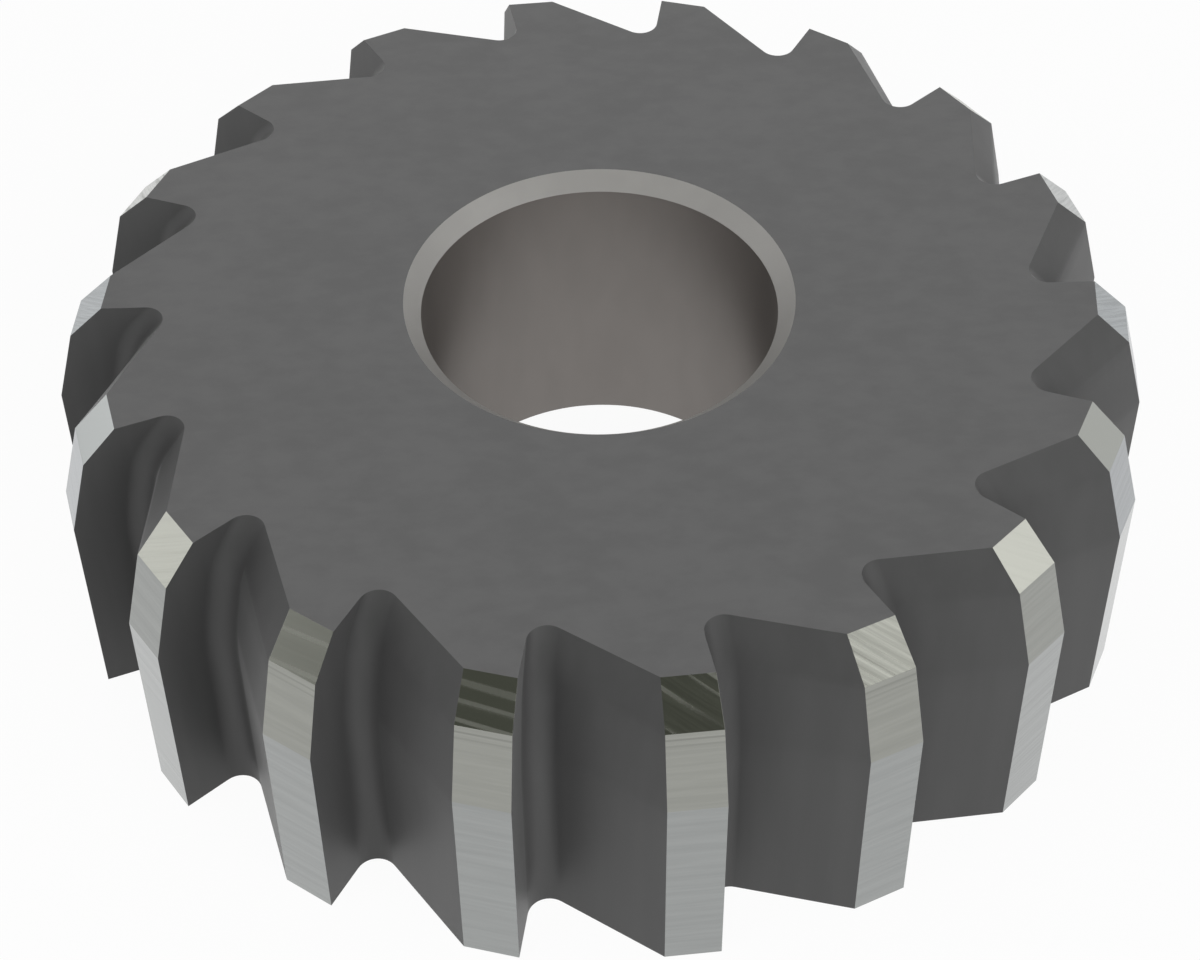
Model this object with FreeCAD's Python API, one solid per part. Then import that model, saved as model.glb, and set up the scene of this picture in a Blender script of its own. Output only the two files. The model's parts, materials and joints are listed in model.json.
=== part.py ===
import FreeCAD, Part
import math
import os

# Hand reamer head: a hardened ring with straight teeth that slides onto the
# pilot shaft of a hand reaming tool. One solid piece. The origin is on the
# bore axis at the plain rear face, and +Z runs along the bore to the leading
# end, which enters the hole first. Lengths are in mm and angles in degrees.

# Body
CUTTING_DIAMETER = 49.57
BODY_HEIGHT = 15.6
TEETH = 18

# Tooth profile along the axis, from the leading face down
NOSE_CHAMFER = 1.6
NOSE_ANGLE = 45.0
LEAD_LENGTH = 3.7
LEAD_ANGLE = 15.0

# Tooth section at the full cutting diameter
LAND_WIDTH = 2.45
RELIEF_ANGLE = 5.6
FLUTE_DEPTH = 3.15
ROOT_RADIUS = 0.94

# Bore for the pilot shaft
BORE_DIAMETER = 16.0
BORE_CHAMFER = 0.75

CUTTING_RADIUS = CUTTING_DIAMETER / 2
BORE_RADIUS = BORE_DIAMETER / 2
PITCH = 2 * math.pi / TEETH


def turned(point, angle):
    """Turn a point of the tooth section about the bore axis."""
    x, y = point
    cos, sin = math.cos(angle), math.sin(angle)
    return (x * cos - y * sin, x * sin + y * cos)


def profile_levels():
    """Height and cutting radius where the tooth profile changes slope."""
    chamfer_rise = NOSE_CHAMFER * math.tan(math.radians(NOSE_ANGLE))
    lead_rise = LEAD_LENGTH * math.tan(math.radians(LEAD_ANGLE))
    lead_bottom = BODY_HEIGHT - NOSE_CHAMFER - LEAD_LENGTH
    return [
        (0.0, CUTTING_RADIUS),
        (lead_bottom, CUTTING_RADIUS),
        (lead_bottom + LEAD_LENGTH, CUTTING_RADIUS - lead_rise),
        (BODY_HEIGHT, CUTTING_RADIUS - lead_rise - chamfer_rise),
    ]


def tooth_section():
    """Points of one pitch at the full diameter, from rake edge to rake edge.

    The radial rake face lies on the X axis. The back of the next tooth runs
    from its heel down to the rounded root, tangent to it.
    """
    rake_edge = (CUTTING_RADIUS, 0.0)
    relief = math.radians(RELIEF_ANGLE)
    heel_of_first = (
        CUTTING_RADIUS - LAND_WIDTH * math.sin(relief),
        -LAND_WIDTH * math.cos(relief),
    )
    heel = turned(heel_of_first, PITCH)

    root_x = CUTTING_RADIUS - FLUTE_DEPTH + ROOT_RADIUS
    root_y = ROOT_RADIUS
    to_heel = math.atan2(heel[1] - root_y, heel[0] - root_x)
    heel_distance = math.hypot(heel[0] - root_x, heel[1] - root_y)
    back_end = to_heel + math.acos(ROOT_RADIUS / heel_distance)
    rake_end = math.radians(270)
    root_middle = (back_end + rake_end) / 2

    def on_root(angle):
        return (
            root_x + ROOT_RADIUS * math.cos(angle),
            root_y + ROOT_RADIUS * math.sin(angle),
        )

    return {
        "rake_edge": rake_edge,
        "rake_foot": (root_x, 0.0),
        "root_middle": on_root(root_middle),
        "back_foot": on_root(back_end),
        "heel": heel,
    }


def placed(point, tooth, level):
    """A section point of one tooth, drawn in to the profile at a level."""
    height, radius = level
    scale = radius / CUTTING_RADIUS
    x, y = turned(point, tooth * PITCH)
    return FreeCAD.Vector(x * scale, y * scale, height)


def flat_face(points):
    return Part.Face(Part.makePolygon(points + points[:1]))


def rake_face(section, tooth, levels):
    """One flat radial face over the full height."""
    edge = [placed(section["rake_edge"], tooth, level) for level in levels]
    foot = [placed(section["rake_foot"], tooth, level) for level in levels]
    return flat_face(edge + foot[::-1])


def strip_face(first, second, tooth, lower, upper):
    """A flat strip of a tooth between two levels of its profile."""
    return flat_face([
        placed(first, tooth, lower),
        placed(second, tooth, lower),
        placed(second, tooth, upper),
        placed(first, tooth, upper),
    ])


def root_arc(section, tooth, level):
    names = ("rake_foot", "root_middle", "back_foot")
    return Part.Arc(*[placed(section[name], tooth, level) for name in names]).toShape()


def tooth_faces(section, tooth, levels):
    """Rake face, root, back and land of one pitch."""
    next_rake_edge = turned(section["rake_edge"], PITCH)
    faces = [rake_face(section, tooth, levels)]
    for lower, upper in zip(levels, levels[1:]):
        root = Part.makeRuledSurface(
            root_arc(section, tooth, lower),
            root_arc(section, tooth, upper),
        )
        back = strip_face(section["back_foot"], section["heel"], tooth, lower, upper)
        land = strip_face(section["heel"], next_rake_edge, tooth, lower, upper)
        faces += [root, back, land]
    return faces


def end_face(section, level):
    """Flat face across all the teeth at the top or the bottom."""
    edges = []
    for tooth in range(TEETH):
        rake_edge = placed(section["rake_edge"], tooth, level)
        rake_foot = placed(section["rake_foot"], tooth, level)
        back_foot = placed(section["back_foot"], tooth, level)
        heel = placed(section["heel"], tooth, level)
        next_rake_edge = placed(section["rake_edge"], tooth + 1, level)
        edges.append(Part.makeLine(rake_edge, rake_foot))
        edges.append(root_arc(section, tooth, level))
        edges.append(Part.makeLine(back_foot, heel))
        edges.append(Part.makeLine(heel, next_rake_edge))
    return Part.Face(Part.Wire(edges))


def toothed_blank():
    """The ring of teeth as one solid, still without its bore."""
    levels = profile_levels()
    section = tooth_section()
    faces = [end_face(section, levels[0]), end_face(section, levels[-1])]
    for tooth in range(TEETH):
        faces += tooth_faces(section, tooth, levels)
    shell = Part.makeShell(faces)
    shell.sewShape()
    return Part.makeSolid(shell)


def bore_with_chamfers():
    """Straight bore that opens at 45 degrees at both ends."""
    mouth = BORE_RADIUS + BORE_CHAMFER
    outline = [
        (0.0, 0.0),
        (mouth, 0.0),
        (BORE_RADIUS, BORE_CHAMFER),
        (BORE_RADIUS, BODY_HEIGHT - BORE_CHAMFER),
        (mouth, BODY_HEIGHT),
        (0.0, BODY_HEIGHT),
    ]
    points = [FreeCAD.Vector(x, 0, z) for x, z in outline]
    axis_start = FreeCAD.Vector(0, 0, 0)
    axis_direction = FreeCAD.Vector(0, 0, 1)
    return flat_face(points).revolve(axis_start, axis_direction, 360)


def reamer_head():
    return toothed_blank().cut(bore_with_chamfers())


os.makedirs("parts", exist_ok=True)
head = reamer_head()
head.exportStep("parts/reamer_head.step")
print("valid", head.isValid(), "solids", len(head.Solids), "volume", round(head.Volume, 1))
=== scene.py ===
import json
import math

import bmesh
import bpy
from mathutils import Matrix, Vector


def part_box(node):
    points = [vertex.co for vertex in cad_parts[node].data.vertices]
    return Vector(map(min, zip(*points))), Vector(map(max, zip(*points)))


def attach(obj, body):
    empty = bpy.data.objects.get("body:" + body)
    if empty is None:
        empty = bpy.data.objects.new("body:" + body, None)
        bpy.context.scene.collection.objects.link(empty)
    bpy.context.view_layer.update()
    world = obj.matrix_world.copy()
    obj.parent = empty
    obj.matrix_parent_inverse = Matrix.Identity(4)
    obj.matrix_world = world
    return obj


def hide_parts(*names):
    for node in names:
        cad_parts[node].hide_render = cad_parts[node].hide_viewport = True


# Hand reamer head: the finished piece, its steel surfaces and a plain studio.
# Lengths are in metres. The bore axis is Z and the head rests on its rear face.

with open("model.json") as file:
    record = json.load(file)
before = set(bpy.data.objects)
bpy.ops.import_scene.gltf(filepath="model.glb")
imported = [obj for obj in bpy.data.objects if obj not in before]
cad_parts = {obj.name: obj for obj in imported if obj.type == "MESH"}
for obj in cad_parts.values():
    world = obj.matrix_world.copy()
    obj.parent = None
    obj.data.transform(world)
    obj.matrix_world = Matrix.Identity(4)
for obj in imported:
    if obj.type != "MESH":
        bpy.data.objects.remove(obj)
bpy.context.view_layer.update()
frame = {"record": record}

MM = 0.001

# Sizes that the frame gives
HEAD_NODE = "reamer_head"
_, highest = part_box(HEAD_NODE)
CUTTING_RADIUS = highest.x
HEIGHT = highest.z
mounts = {mount["name"]: mount for mount in frame["record"]["mounts"]}
BORE_RADIUS = mounts["pilot_bore"]["dims"]["r_mm"] * MM
BORE_CHAMFER = (HEIGHT - mounts["pilot_bore"]["dims"]["length_mm"] * MM) / 2

# Teeth
TEETH = 18
PITCH = 2 * math.pi / TEETH
NOSE_CHAMFER = 1.6 * MM
NOSE_ANGLE = math.radians(45)
LEAD_LENGTH = 3.7 * MM
LEAD_ANGLE = math.radians(15)
LAND_WIDTH = 2.45 * MM
RELIEF_ANGLE = math.radians(5.6)
FLUTE_DEPTH = 3.15 * MM
ROOT_RADIUS = 0.94 * MM

# Heights where the profile of the teeth changes slope
LEAD_TOP = HEIGHT - NOSE_CHAMFER
LEAD_BOTTOM = LEAD_TOP - LEAD_LENGTH

# How far up and down the flutes draw out each change of slope
LEAD_BLEND = 1.6 * MM
NOSE_BLEND = 0.9 * MM

# Fineness of the mesh
ROOT_STEPS = 14
BLEND_STEPS = 5
BORE_STEPS_PER_TOOTH = 8
EDGE_BREAK = 0.01 * MM
EDGE_BREAK_STEPS = 2

# Where the camera stands, seen from the centre of the leading face
CAMERA_AZIMUTH = math.radians(-91.406)
CAMERA_ELEVATION = math.radians(42.344)
CAMERA_DISTANCE = 115.03 * MM

# How the camera is turned: its back points this way from the head
CAMERA_BACK_AZIMUTH = math.radians(-91.364)
CAMERA_BACK_ELEVATION = math.radians(46.463)
CAMERA_ROLL = math.radians(-0.664)
CAMERA_LENS = 77.12
CAMERA_SENSOR = 36.0
CAMERA_CLIP_START = 1 * MM


# Shape of the teeth

def turned(point, angle):
    """A point of the tooth section turned about the bore axis."""
    return Matrix.Rotation(angle, 2) @ Vector(point)


def slope_changes():
    """Where the tooth profile turns inwards, by how much, and its blend in the flutes."""
    lead_slope = -math.tan(LEAD_ANGLE)
    nose_slope = -math.tan(NOSE_ANGLE)
    return [
        (LEAD_BOTTOM, lead_slope, LEAD_BLEND),
        (LEAD_TOP, nose_slope - lead_slope, NOSE_BLEND),
    ]


def land_radius(height):
    """Cutting radius at a height."""
    turns = [(height - start, change) for start, change, _ in slope_changes()]
    return CUTTING_RADIUS + sum(change * max(rise, 0.0) for rise, change in turns)


def flute_radius(height):
    """The cutting radius with its turns blended, which the flutes follow."""
    radius = CUTTING_RADIUS
    for start, change, blend in slope_changes():
        rise = height - start
        if abs(rise) < blend:
            radius += change * (rise + blend) ** 2 / (4 * blend)
        else:
            radius += change * max(rise, 0.0)
    return radius


def level_heights():
    """Heights of the mesh's rings: both ends and steps across each blend."""
    heights = [0.0, HEIGHT]
    for start, _, blend in slope_changes():
        steps = range(-BLEND_STEPS, BLEND_STEPS + 1)
        heights += [start + blend * step / BLEND_STEPS for step in steps]
    return sorted(heights)


def tooth_section():
    """Points of one pitch at the full diameter: rake edge, root arc, heel."""
    heel_behind_edge = (
        CUTTING_RADIUS - LAND_WIDTH * math.sin(RELIEF_ANGLE),
        -LAND_WIDTH * math.cos(RELIEF_ANGLE),
    )
    heel = turned(heel_behind_edge, PITCH)
    centre = Vector((CUTTING_RADIUS - FLUTE_DEPTH + ROOT_RADIUS, ROOT_RADIUS))
    to_heel = heel - centre
    back_end = math.atan2(to_heel.y, to_heel.x) + math.acos(ROOT_RADIUS / to_heel.length)
    rake_end = math.radians(270)
    root = []
    for step in range(ROOT_STEPS + 1):
        angle = rake_end + (back_end - rake_end) * step / ROOT_STEPS
        root.append(centre + ROOT_RADIUS * Vector((math.cos(angle), math.sin(angle))))
    return [Vector((CUTTING_RADIUS, 0))] + root + [heel]


# Material numbers on the head, in the order of its material slots
END_FACE, FLUTE, LAND, BORE, MOUTH = range(5)


class HeadMesh:
    """Builds the head as a grid of rings, with its edges marked for breaking."""

    def __init__(self):
        self.mesh = bmesh.new()
        self.breaks = self.mesh.edges.layers.float.new("bevel_weight_edge")

    def ring(self, points, height):
        return [self.mesh.verts.new((x, y, height)) for x, y in points]

    def face(self, verts, material):
        face = self.mesh.faces.new(verts)
        face.material_index = material
        face.smooth = True

    def break_edge(self, first, second):
        self.mesh.edges.get((first, second))[self.breaks] = 1.0

    def toothed_rings(self):
        """Rings of all the teeth's points, and how many belong to one tooth."""
        section = tooth_section()
        rings = []
        for height in level_heights():
            land_scale = land_radius(height) / CUTTING_RADIUS
            flute_scale = flute_radius(height) / CUTTING_RADIUS
            rake_edge, *root, heel = section
            drawn_in = [land_scale * rake_edge]
            drawn_in += [flute_scale * point for point in root]
            drawn_in += [land_scale * heel]
            points = [
                turned(point, tooth * PITCH)
                for tooth in range(TEETH)
                for point in drawn_in
            ]
            rings.append(self.ring(points, height))
        return rings, len(section)

    def teeth(self):
        """Flutes and lands between the levels of the profile."""
        rings, count = self.toothed_rings()
        for lower, upper in zip(rings, rings[1:]):
            for i in range(len(lower)):
                j = (i + 1) % len(lower)
                on_land = i % count == count - 1
                material = LAND if on_land else FLUTE
                self.face([lower[i], lower[j], upper[j], upper[i]], material)
        for lower, upper in zip(rings, rings[1:]):
            for i in range(len(lower)):
                if i % count in (0, count - 1):
                    self.break_edge(lower[i], upper[i])
        for start, _, _ in slope_changes():
            ring = rings[level_heights().index(start)]
            for i in range(count - 1, len(ring), count):
                self.break_edge(ring[i], ring[(i + 1) % len(ring)])
        for ring in (rings[0], rings[-1]):
            for i in range(len(ring)):
                self.break_edge(ring[i], ring[(i + 1) % len(ring)])
        return rings[0], rings[-1], count

    def bore(self):
        """Straight bore with a chamfered mouth at each end."""
        steps = TEETH * BORE_STEPS_PER_TOOTH
        circle = [turned((1, 0), 2 * math.pi * step / steps) for step in range(steps)]
        outline = [
            (0.0, BORE_RADIUS + BORE_CHAMFER),
            (BORE_CHAMFER, BORE_RADIUS),
            (HEIGHT - BORE_CHAMFER, BORE_RADIUS),
            (HEIGHT, BORE_RADIUS + BORE_CHAMFER),
        ]
        rings = [self.ring([radius * p for p in circle], height) for height, radius in outline]
        for level, material in enumerate((MOUTH, BORE, MOUTH)):
            lower, upper = rings[level], rings[level + 1]
            for i in range(steps):
                j = (i + 1) % steps
                self.face([lower[j], lower[i], upper[i], upper[j]], material)
        for ring in rings:
            for i in range(steps):
                self.break_edge(ring[i], ring[(i + 1) % steps])
        return rings[0], rings[-1]

    def end_face(self, outline, count, mouth, upwards):
        """Flat face between the teeth and the bore, one polygon to a tooth."""
        for tooth in range(TEETH):
            start = tooth * count
            outer = [outline[(start + i) % len(outline)] for i in range(1, count + 2)]
            first = tooth * BORE_STEPS_PER_TOOTH
            inner = [mouth[(first + i) % len(mouth)] for i in range(BORE_STEPS_PER_TOOTH + 1)]
            verts = outer + inner[::-1]
            self.face(verts if upwards else verts[::-1], END_FACE)


def break_edges(head):
    """Rounds the marked edges a little and keeps the flats looking flat.

    It works on the head in mm: in metres the areas that weigh the normals
    are too small for the modifier, and it leaves them out.
    """
    head.data.transform(Matrix.Scale(1 / MM, 4))
    bevel = head.modifiers.new("edge_break", "BEVEL")
    bevel.limit_method = "WEIGHT"
    bevel.width = EDGE_BREAK / MM
    bevel.segments = EDGE_BREAK_STEPS
    bevel.use_clamp_overlap = False
    normals = head.modifiers.new("flat_faces", "WEIGHTED_NORMAL")
    normals.thresh = 0.0
    bpy.context.view_layer.update()
    evaluated = head.evaluated_get(bpy.context.evaluated_depsgraph_get())
    finished = bpy.data.meshes.new_from_object(evaluated)
    finished.transform(Matrix.Scale(MM, 4))
    head.modifiers.clear()
    head.data = finished


def finished_head():
    shape = HeadMesh()
    bottom, top, count = shape.teeth()
    bottom_mouth, top_mouth = shape.bore()
    shape.end_face(top, count, top_mouth, upwards=True)
    shape.end_face(bottom, count, bottom_mouth, upwards=False)
    mesh = bpy.data.meshes.new("finished_head")
    shape.mesh.to_mesh(mesh)
    shape.mesh.free()
    head = bpy.data.objects.new("finished_head", mesh)
    bpy.context.scene.collection.objects.link(head)
    for steel in (end_face_steel(), flute_steel(), land_steel(), bore_steel(), mouth_steel()):
        mesh.materials.append(steel)
    break_edges(head)
    return head


# Materials

NEUTRAL = (1.0, 1.0, 1.0)


class Nodes:
    """Short calls that add nodes to a tree and join them up."""

    def __init__(self, tree):
        self.tree = tree

    def add(self, kind, inputs=(), **settings):
        node = self.tree.nodes.new(kind)
        for name, value in settings.items():
            setattr(node, name, value)
        for name, value in dict(inputs).items():
            self.feed(node.inputs[name], value)
        return node

    def feed(self, socket, value):
        """Gives a socket a value, or links it to another node's output."""
        if isinstance(value, bpy.types.NodeSocket):
            self.tree.links.new(value, socket)
        else:
            socket.default_value = value

    def math(self, operation, first, second=0.0):
        inputs = {0: first, 1: second}
        return self.add("ShaderNodeMath", inputs, operation=operation).outputs[0]

    def plus(self, first, second):
        return self.math("ADD", first, second)

    def minus(self, first, second):
        return self.math("SUBTRACT", first, second)

    def times(self, first, second):
        return self.math("MULTIPLY", first, second)

    def spread(self, value, low, high, to_low=0.0, to_high=1.0):
        """A smooth step of a value from one range to another."""
        inputs = {"Value": value, "From Min": low, "From Max": high}
        inputs.update({"To Min": to_low, "To Max": to_high})
        settings = {"interpolation_type": "SMOOTHSTEP"}
        return self.add("ShaderNodeMapRange", inputs, **settings).outputs[0]

    def mix(self, factor, first, second, blend="MIX"):
        """A mix of two colours."""
        settings = {"data_type": "RGBA", "blend_type": blend, "clamp_factor": True}
        inputs = {0: factor, 6: first, 7: second}
        return self.add("ShaderNodeMix", inputs, **settings).outputs[2]

    def greys(self, factor, values, tint=NEUTRAL):
        """A mix of two greys of one tint."""
        first, second = values
        return self.mix(factor, grey(first, tint), grey(second, tint))

    def noise(self, vector, scale, detail, roughness=0.55):
        inputs = {"Vector": vector, "Scale": scale, "Detail": detail, "Roughness": roughness}
        return self.add("ShaderNodeTexNoise", inputs).outputs["Fac"]

    def combine(self, x, y, z):
        return self.add("ShaderNodeCombineXYZ", {"X": x, "Y": y, "Z": z}).outputs[0]


def grey(value, tint=NEUTRAL):
    return tuple(value * part for part in tint) + (1.0,)


def new_steel(name, roughness, metallic=1.0, specular=0.5, edge=1.0):
    """A bare steel: its nodes, its shader and the place on the object in mm.

    The edge is how strongly it mirrors when it is seen at a low angle.
    """
    material = bpy.data.materials.new(name)
    material.use_nodes = True
    nodes = Nodes(material.node_tree)
    shader = material.node_tree.nodes["Principled BSDF"]
    shader.inputs["Metallic"].default_value = metallic
    shader.inputs["Roughness"].default_value = roughness
    shader.inputs["Specular IOR Level"].default_value = specular
    shader.inputs["Specular Tint"].default_value = grey(edge)
    where = nodes.add("ShaderNodeTexCoord").outputs["Object"]
    scaled = nodes.add("ShaderNodeVectorMath", {0: where, "Scale": 1 / MM}, operation="SCALE")
    place = nodes.add("ShaderNodeSeparateXYZ", {0: scaled.outputs[0]}).outputs
    return material, nodes, shader, place


def streak_bump(nodes, shader, height, strength, distance):
    inputs = {"Height": height, "Strength": strength, "Distance": distance}
    bump = nodes.add("ShaderNodeBump", inputs)
    nodes.feed(shader.inputs["Normal"], bump.outputs[0])


# The parts of a noise's range that a smooth step spreads out
NARROW = (0.35, 0.65)
BROAD = (0.3, 0.7)

# Each steel's noise is drawn out along the direction that its stretch scales down
END_FACE_GREYS = (0.103, 0.118)
END_FACE_STRETCH = 0.6

# The end faces' tone is this share of small spots, and the rest of wide patches
SPOT_SHARE = 0.6


def end_face_steel():
    """Hardened end faces: dark, even and matt, with a faint mottle."""
    material, nodes, shader, (x, y, z) = new_steel(
        "end_face_steel",
        roughness=0.5,
        metallic=0.2,
        specular=0.35,
    )
    stretched = nodes.combine(nodes.times(x, END_FACE_STRETCH), y, z)
    spots = nodes.noise(stretched, scale=1.1, detail=3.0, roughness=0.6)
    patches = nodes.noise(nodes.combine(x, y, z), scale=0.2, detail=2.0)
    tone = nodes.plus(nodes.times(spots, SPOT_SHARE), nodes.times(patches, 1 - SPOT_SHARE))
    nodes.feed(shader.inputs["Base Color"], nodes.greys(nodes.spread(tone, *NARROW), END_FACE_GREYS))
    streak_bump(nodes, shader, spots, strength=0.04, distance=0.02 * MM)
    return material


FLUTE_GREYS = (0.073, 0.079)
FLUTE_STRETCH = 0.08
OXIDE_WEIGHT = 0.2
OXIDE_ROUGHNESS = 0.3


def flute_steel():
    """Milled and hardened flutes: dark, with soft marks up and down.

    A thin oxide film makes them lighter where they are seen at a low angle.
    """
    material, nodes, shader, (x, y, z) = new_steel(
        "flute_steel",
        roughness=0.52,
        metallic=0.15,
        specular=0.28,
    )
    shader.inputs["Sheen Weight"].default_value = OXIDE_WEIGHT
    shader.inputs["Sheen Roughness"].default_value = OXIDE_ROUGHNESS
    stretched = nodes.combine(x, y, nodes.times(z, FLUTE_STRETCH))
    lines = nodes.noise(stretched, scale=1.0, detail=3.0, roughness=0.5)
    nodes.feed(shader.inputs["Base Color"], nodes.greys(nodes.spread(lines, *BROAD), FLUTE_GREYS))
    streak_bump(nodes, shader, lines, strength=0.05, distance=0.05 * MM)
    return material


# Tones of the ground steel from the leading face down
NOSE_TINT = (0.985, 1.0, 0.9)
NOSE_GREY = 0.37
NOSE_LINE_GREY = 0.26
LEAD_TINT = (0.985, 1.0, 0.92)
LEAD_GREYS = (0.296, 0.326)
LEAD_LINE_GREY = 0.25
REAR_TINT = (0.965, 1.0, 0.985)
REAR_GREYS = (0.306, 0.336)

# Painted bluish reflection on the lands that face along X, and the cosine at which it starts
SIDE_REFLECTION_TINT = (0.96, 1.0, 1.14)
SIDE_REFLECTION_START_ON_NOSE = 0.88
SIDE_REFLECTION_START_ON_LEAD = 0.65

# Where the middle of a land lies, in pitches from its rake edge
LAND_MIDDLE = -0.14

# How the marks on the nose lean: the gain and the most are tangents, and the
# pattern is turned round the head by a whole pitch
LEAN_GAIN = 2.1
MOST_LEAN = 0.74
LEAN_TURN = 1.0

# The marked teeth come in groups: a wave round the head says how marked each is
MARKED_GROUPS = 3.0
MARKED_TURN = math.radians(10)
MARKED_RANGE = (1.0, -0.5)

# Streaks: their place round the land is scaled by the stretch, and the tone is
# this share of the fine ones and the rest of the broad ones
BROAD_STRETCH = 0.03
FINE_STRETCH = 0.05
FINE_SHARE = 0.4

# The part of the fine streaks' range that becomes dark lines on the nose
NOSE_LINE_RANGE = (0.4, 0.6)

# Turned lines below the edge of the lead: pitch, start and fade in mm, and the
# part of each wave that is a line
FEED_PITCH = 0.29
FEED_START = (0.05, 0.2)
FEED_FADE = (0.25, 1.0)
FEED_RANGE = (0.2, 0.9)

# Matt scratches on the nose: pitch, start and bend in mm, and the part of each
# wave that is a scratch
SCRATCH_PITCH = 0.5
SCRATCH_START = 15.85
SCRATCH_BEND = 0.5
SCRATCH_RANGE = (0.1, 1.0)

# The noise that leaves only pieces of the scratches
SCRATCH_STRETCH = 0.1
SCRATCH_PATTERN = 27.9
SCRATCH_KEPT = (0.4, 0.6)

# Finish of the lands, plain and in the scratches
PLAIN_ROUGHNESS = 0.2
SCRATCH_ROUGHNESS = 0.35
SCRATCH_METALLIC = 0.87

# Height of the whole bump, and the depths of the streaks as shares of it: the
# broad ones, what the marked noses add to them, and the fine ones
STREAK_BUMP = 0.15 * MM
STREAK_DEPTH = 0.08
MARKED_STREAK_DEPTH = 0.2
FINE_STREAK_DEPTH = 0.03


class LandMarks:
    """Marks of grinding on the lands, one tooth at a time, as nodes."""

    def __init__(self, nodes, x, y, z):
        self.nodes = nodes
        self.on_nose = nodes.math("GREATER_THAN", z, LEAD_TOP / MM)
        self.on_rear = nodes.math("LESS_THAN", z, LEAD_BOTTOM / MM)
        self.below_edge = nodes.minus(LEAD_TOP / MM, z)

        pitches = nodes.math("DIVIDE", nodes.math("ARCTAN2", y, x), PITCH)
        pitches = nodes.plus(pitches, 0.5 - LAND_MIDDLE)
        self.tooth = nodes.math("FLOOR", pitches)
        share = nodes.minus(nodes.math("FRACT", pitches), 0.5)
        self.around = nodes.times(share, PITCH * CUTTING_RADIUS / MM)

        turn = nodes.times(nodes.plus(self.tooth, LEAN_TURN), PITCH)
        side = nodes.math("COSINE", turn)
        bent = nodes.times(nodes.times(side, nodes.math("ABSOLUTE", side)), LEAN_GAIN)
        self.lean = nodes.math("MAXIMUM", nodes.math("MINIMUM", bent, MOST_LEAN), -MOST_LEAN)
        nose_lean = nodes.times(self.lean, self.on_nose)
        self.across = nodes.plus(z, nodes.times(self.around, nose_lean))

        wave = nodes.math("COSINE", nodes.times(nodes.plus(turn, MARKED_TURN), MARKED_GROUPS))
        self.marked = nodes.spread(wave, *MARKED_RANGE)
        self.marked_nose = nodes.times(self.marked, self.on_nose)
        self.broad = self.streaks(BROAD_STRETCH, scale=2.0, detail=1.5, roughness=0.5)
        self.fine = self.streaks(FINE_STRETCH, scale=7.0, detail=2.0, roughness=0.6)

    def streaks(self, stretch, **noise):
        """Noise drawn out along the marks, different on each tooth."""
        nodes = self.nodes
        place = nodes.combine(nodes.times(self.around, stretch), self.across, self.tooth)
        return nodes.noise(place, **noise)

    def feed_lines(self):
        """Fine lines just below the edge of the lead, on the marked teeth."""
        nodes = self.nodes
        feed = nodes.math("COSINE", nodes.times(self.below_edge, 2 * math.pi / FEED_PITCH))
        near_edge = nodes.spread(self.below_edge, *FEED_FADE, 1.0, 0.0)
        past_edge = nodes.spread(self.below_edge, *FEED_START)
        lines = nodes.times(nodes.spread(feed, *FEED_RANGE), nodes.times(near_edge, past_edge))
        return nodes.times(lines, self.marked)

    def colour(self):
        nodes = self.nodes
        land_angle = nodes.times(nodes.plus(self.tooth, LAND_MIDDLE), PITCH)
        sideways = nodes.math("ABSOLUTE", nodes.math("COSINE", land_angle))
        # The lands that face along X get a painted bluish reflection multiplied into their colour,
        # on the nose and on the lead
        painted_reflection_blue = grey(1.0, SIDE_REFLECTION_TINT)

        line_share = nodes.times(nodes.math("ABSOLUTE", self.lean), self.marked)
        nose_lines = nodes.times(nodes.spread(self.fine, *NOSE_LINE_RANGE), line_share)
        nose = nodes.greys(nose_lines, (NOSE_GREY, NOSE_LINE_GREY), NOSE_TINT)
        reflection_share = nodes.spread(sideways, SIDE_REFLECTION_START_ON_NOSE, 1.0)
        nose = nodes.mix(reflection_share, nose, painted_reflection_blue, "MULTIPLY")

        tone = nodes.plus(
            nodes.times(self.fine, FINE_SHARE),
            nodes.times(self.broad, 1 - FINE_SHARE),
        )
        light = nodes.spread(tone, *NARROW)
        lead = nodes.greys(light, LEAD_GREYS, LEAD_TINT)
        lead = nodes.mix(self.feed_lines(), lead, grey(LEAD_LINE_GREY, LEAD_TINT))
        reflection_share = nodes.spread(sideways, SIDE_REFLECTION_START_ON_LEAD, 1.0)
        lead = nodes.mix(reflection_share, lead, painted_reflection_blue, "MULTIPLY")
        rear = nodes.greys(light, REAR_GREYS, REAR_TINT)
        return nodes.mix(self.on_nose, nodes.mix(self.on_rear, lead, rear), nose)

    def scratches(self):
        """Matt scratches, which only the noses of the marked teeth have."""
        nodes = self.nodes
        bent_across = nodes.plus(self.across, nodes.times(self.broad, SCRATCH_BEND))
        turns = nodes.times(nodes.minus(bent_across, SCRATCH_START), 2 * math.pi / SCRATCH_PITCH)
        pattern = nodes.plus(self.tooth, SCRATCH_PATTERN)
        place = nodes.combine(nodes.times(self.around, SCRATCH_STRETCH), self.across, pattern)
        kept = nodes.spread(nodes.noise(place, scale=1.1, detail=0.0), *SCRATCH_KEPT)
        lines = nodes.spread(nodes.math("COSINE", turns), *SCRATCH_RANGE)
        return nodes.times(nodes.times(lines, kept), self.marked_nose)

    def relief(self):
        nodes = self.nodes
        depth = nodes.plus(nodes.times(self.marked_nose, MARKED_STREAK_DEPTH), STREAK_DEPTH)
        fine = nodes.times(self.fine, FINE_STREAK_DEPTH)
        return nodes.plus(nodes.times(self.broad, depth), fine)


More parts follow.
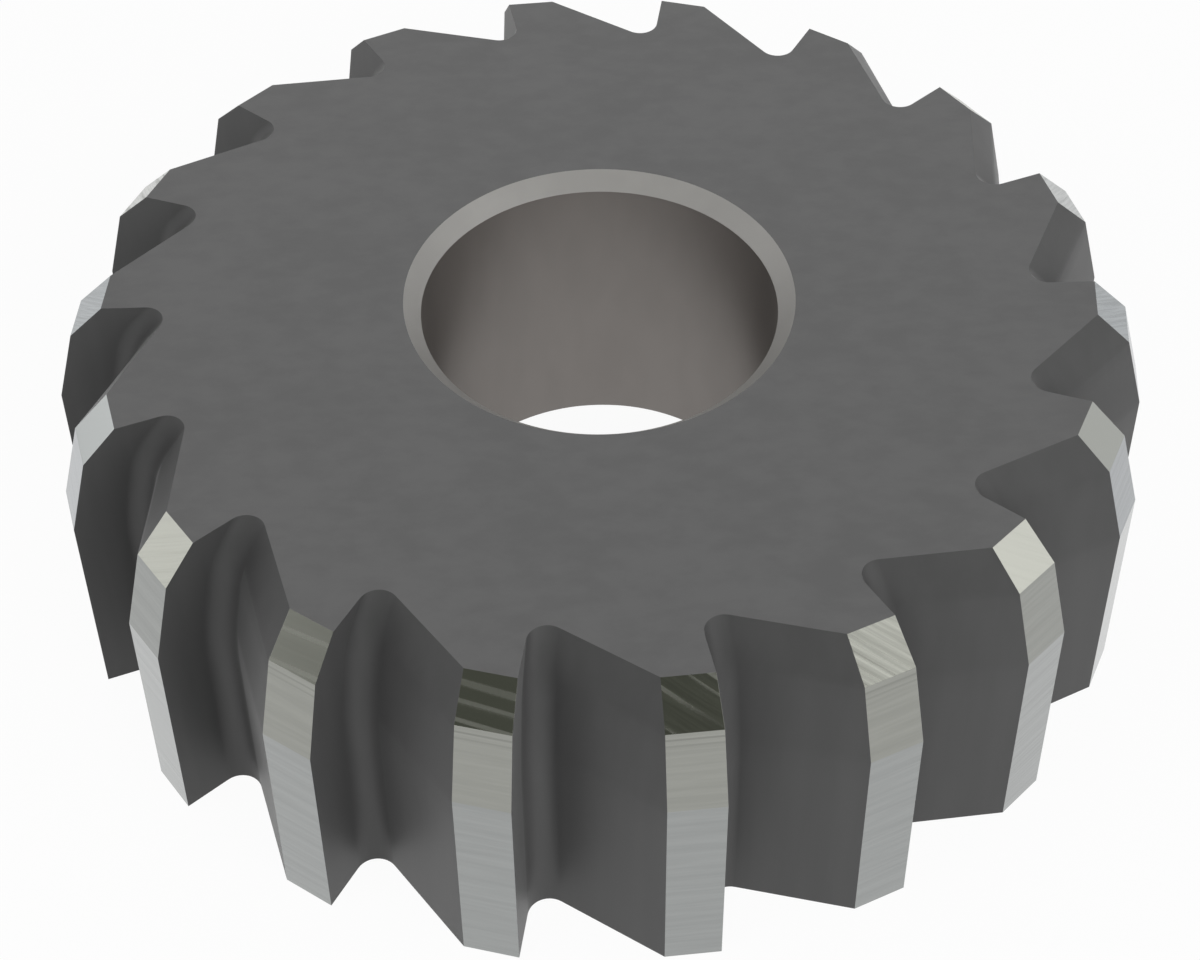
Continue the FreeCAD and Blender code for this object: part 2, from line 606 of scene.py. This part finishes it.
def land_steel():
    """Ground lands: bright bare steel with marks round the head.

    On the nose chamfer the marks lean, each tooth's by its own angle, and
    some are matt scratches. Fine turned lines follow the edge of the lead.
    The teeth on both sides have a faint painted bluish reflection in their colour.
    """
    material, nodes, shader, (x, y, z) = new_steel("land_steel", roughness=PLAIN_ROUGHNESS)
    marks = LandMarks(nodes, x, y, z)
    matt = marks.scratches()
    roughness = nodes.spread(matt, 0.0, 1.0, PLAIN_ROUGHNESS, SCRATCH_ROUGHNESS)
    metallic = nodes.spread(matt, 0.0, 1.0, 1.0, SCRATCH_METALLIC)
    nodes.feed(shader.inputs["Base Color"], marks.colour())
    nodes.feed(shader.inputs["Roughness"], roughness)
    nodes.feed(shader.inputs["Metallic"], metallic)
    streak_bump(nodes, shader, marks.relief(), strength=1.0, distance=STREAK_BUMP)
    return material


BORE_TINT = (1.0, 0.93, 0.88)
BORE_GREYS = (0.251, 0.264)
BORE_STRETCH = 0.4


def bore_steel():
    """Honed bore, slightly warm, with a dull film that shows at low angles."""
    material, nodes, shader, (x, y, z) = new_steel(
        "bore_steel",
        roughness=0.42,
        metallic=0.72,
        specular=0.4,
        edge=0.3,
    )
    stretched = nodes.combine(x, y, nodes.times(z, BORE_STRETCH))
    lines = nodes.spread(nodes.noise(stretched, scale=0.5, detail=2.0), *BROAD)
    nodes.feed(shader.inputs["Base Color"], nodes.greys(lines, BORE_GREYS, BORE_TINT))
    return material


MOUTH_TINT = (1.0, 0.98, 0.94)
MOUTH_GREYS = (0.37, 0.39)


def mouth_steel():
    """Turned chamfers at the ends of the bore."""
    material, nodes, shader, (x, y, z) = new_steel(
        "mouth_steel",
        roughness=0.4,
        metallic=0.15,
        specular=0.5,
        edge=0.1,
    )
    lines = nodes.spread(nodes.noise(nodes.combine(x, y, z), scale=0.5, detail=2.0), *BROAD)
    nodes.feed(shader.inputs["Base Color"], nodes.greys(lines, MOUTH_GREYS, MOUTH_TINT))
    return material


# Studio

FLOOR_SIZE = 6.0
FLOOR_GREY = 0.95

# How much of what the camera sees of the floor is plain white
FLOOR_WHITE = 0.95


def floor():
    """Pale floor that keeps a light contact shadow and is mirrored as white."""
    bpy.ops.mesh.primitive_plane_add(size=FLOOR_SIZE, location=(0, 0, 0))
    plane = bpy.context.object
    plane.name = "floor"
    material = bpy.data.materials.new("floor")
    material.use_nodes = True
    tree = material.node_tree
    tree.nodes.clear()
    nodes = Nodes(tree)
    paper = nodes.add("ShaderNodeBsdfDiffuse", {"Color": grey(FLOOR_GREY)})
    path = nodes.add("ShaderNodeLightPath").outputs
    mirrored = nodes.math("MAXIMUM", path["Is Glossy Ray"], path["Is Transmission Ray"])
    from_camera = nodes.times(path["Is Camera Ray"], FLOOR_WHITE)
    share = nodes.math("MAXIMUM", from_camera, mirrored)
    glow = nodes.add("ShaderNodeEmission", {"Color": grey(1.0), "Strength": 1.0})
    mixed = nodes.add("ShaderNodeMixShader", {0: share, 1: paper.outputs[0], 2: glow.outputs[0]})
    output = nodes.add("ShaderNodeOutputMaterial")
    nodes.feed(output.inputs[0], mixed.outputs[0])
    plane.data.materials.append(material)


def direction_to(azimuth, elevation):
    level = math.cos(elevation)
    return Vector((math.cos(azimuth) * level, math.sin(azimuth) * level, math.sin(elevation)))


# The dark part of the room that the head mirrors, with how far it reaches
DARK_DIRECTION = direction_to(math.radians(-103), math.radians(40))
DARK_REACH = math.radians(67)
DARKEST_REACH = math.radians(24)
DARK_GREY = 0.14
DARK_TINT = (0.95, 1.0, 0.85)

# What the room gives to matt surfaces
ROOM_FILL = 0.1


def room():
    """White room, dark around the camera, that lights the object softly."""
    world = bpy.data.worlds.new("room")
    world.use_nodes = True
    bpy.context.scene.world = world
    tree = world.node_tree
    tree.nodes.clear()
    nodes = Nodes(tree)
    direction = nodes.add("ShaderNodeTexCoord").outputs["Generated"]
    towards_dark = nodes.add(
        "ShaderNodeVectorMath",
        {0: direction, 1: DARK_DIRECTION},
        operation="DOT_PRODUCT",
    ).outputs["Value"]
    dark = nodes.spread(towards_dark, math.cos(DARK_REACH), math.cos(DARKEST_REACH))
    mirrored = nodes.mix(dark, grey(1.0), grey(DARK_GREY, DARK_TINT))
    path = nodes.add("ShaderNodeLightPath").outputs
    light = nodes.mix(path["Is Diffuse Ray"], mirrored, grey(ROOM_FILL))
    colour = nodes.mix(path["Is Camera Ray"], light, grey(1.0))
    background = nodes.add("ShaderNodeBackground", {"Color": colour, "Strength": 1.0})
    output = nodes.add("ShaderNodeOutputWorld")
    nodes.feed(output.inputs[0], background.outputs[0])


LAMP_DISTANCE = 0.5


def soft_box(name, azimuth, elevation, size, brightness, mirrored=True):
    """Square area lamp that points at the head; brightness 1 looks white.

    One that isn't mirrored lights only the matt part of a surface.
    """
    lamp = bpy.data.lights.new(name, "AREA")
    lamp.shape = "SQUARE"
    lamp.size = size
    lamp.energy = brightness * math.pi * size**2
    box = bpy.data.objects.new(name, lamp)
    direction = direction_to(math.radians(azimuth), math.radians(elevation))
    box.location = LAMP_DISTANCE * direction
    box.rotation_euler = direction.to_track_quat("Z", "Y").to_euler()
    box.visible_glossy = mirrored
    bpy.context.scene.collection.objects.link(box)


def lamps():
    soft_box("right_box", azimuth=-26, elevation=28, size=0.4, brightness=0.66)
    soft_box("left_box", azimuth=161, elevation=18, size=0.3, brightness=0.5)
    soft_box("back_box", azimuth=90, elevation=46, size=0.4, brightness=0.9)
    fill = {"size": 0.3, "mirrored": False}
    soft_box("front_fill", azimuth=-91, elevation=36, brightness=2.4, **fill)
    soft_box("right_fill", azimuth=-50, elevation=28, brightness=2.5, **fill)
    soft_box("left_fill", azimuth=-150, elevation=40, brightness=1.7, **fill)


def camera():
    """The photograph's viewpoint."""
    face_centre = Vector((0, 0, HEIGHT))
    stand = direction_to(CAMERA_AZIMUTH, CAMERA_ELEVATION)
    back = direction_to(CAMERA_BACK_AZIMUTH, CAMERA_BACK_ELEVATION)
    right = Vector((0, 0, 1)).cross(back).normalized()
    turn = Matrix.Rotation(CAMERA_ROLL, 3, back)
    axes = Matrix((turn @ right, turn @ back.cross(right), back)).transposed()
    data = bpy.data.cameras.new("camera")
    data.lens = CAMERA_LENS
    data.sensor_width = CAMERA_SENSOR
    data.clip_start = CAMERA_CLIP_START
    view = bpy.data.objects.new("camera", data)
    view.matrix_world = Matrix.Translation(face_centre + CAMERA_DISTANCE * stand) @ axes.to_4x4()
    bpy.context.scene.collection.objects.link(view)
    bpy.context.scene.camera = view


head = finished_head()
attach(head, "root")
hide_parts(HEAD_NODE)

floor()
room()
lamps()
camera()
bpy.context.scene.view_settings.view_transform = "Standard"
